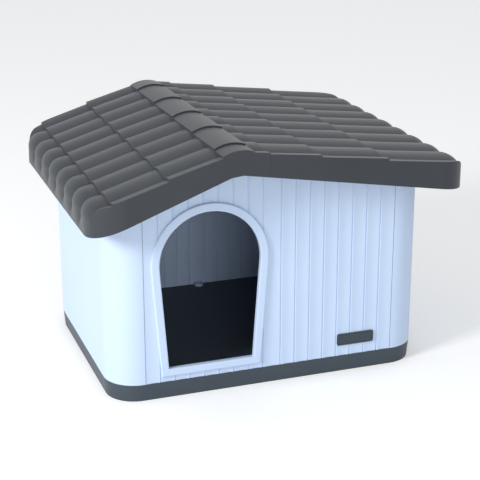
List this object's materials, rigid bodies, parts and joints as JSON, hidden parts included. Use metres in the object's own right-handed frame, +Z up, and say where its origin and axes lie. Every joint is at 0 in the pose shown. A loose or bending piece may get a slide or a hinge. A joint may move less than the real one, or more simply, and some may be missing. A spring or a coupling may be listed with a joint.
{
  "type": "cat house",
  "caption": "Moulded cat house: grey base tray, pale ribbed walls with an arched doorway and a bare name plate, and a tiled roof that lifts off.",
  "frame": {"origin": "centre of the flat pad under the base tray, on the floor", "axes": "+X to the right of the doorway side, +Y from the doorway side to the back, +Z up"},
  "size_m": [0.6005, 0.5092, 0.4036],
  "materials": {
    "base_grey": "satin moulded plastic, dark blue-grey",
    "wall_blue": "satin moulded plastic, pale blue",
    "plate_grey": "satin moulded plastic, dark blue-grey",
    "roof_grey": "satin moulded plastic, dark grey",
    "bolt_plastic": "moulded plastic",
    "steel": "zinc-plated"
  },
  "bodies": {
    "house": {"base_tray": "base_grey", "front_wall": "wall_blue", "rear_wall": "wall_blue", "left_wall": "wall_blue", "right_wall": "wall_blue", "nameplate": "plate_grey", "nameplate_clips": "steel", "seam_bolts_front_left": "bolt_plastic", "wing_nuts_front_left": "bolt_plastic", "seam_bolts_front_right": "bolt_plastic", "wing_nuts_front_right": "bolt_plastic", "seam_bolts_rear_left": "bolt_plastic", "wing_nuts_rear_left": "bolt_plastic", "seam_bolts_rear_right": "bolt_plastic", "wing_nuts_rear_right": "bolt_plastic", "base_screws_front": "steel", "base_screws_rear": "steel", "base_screws_left": "steel", "base_screws_right": "steel"},
    "roof": {"roof_left": "roof_grey", "roof_right": "roof_grey", "roof_screws": "steel"}
  },
  "joints": [
    {"name": "roof_lift", "type": "slide", "parent": "house", "child": "roof", "axis": [0, 0, 1], "range_m": [0, 0.12]}
  ]
}
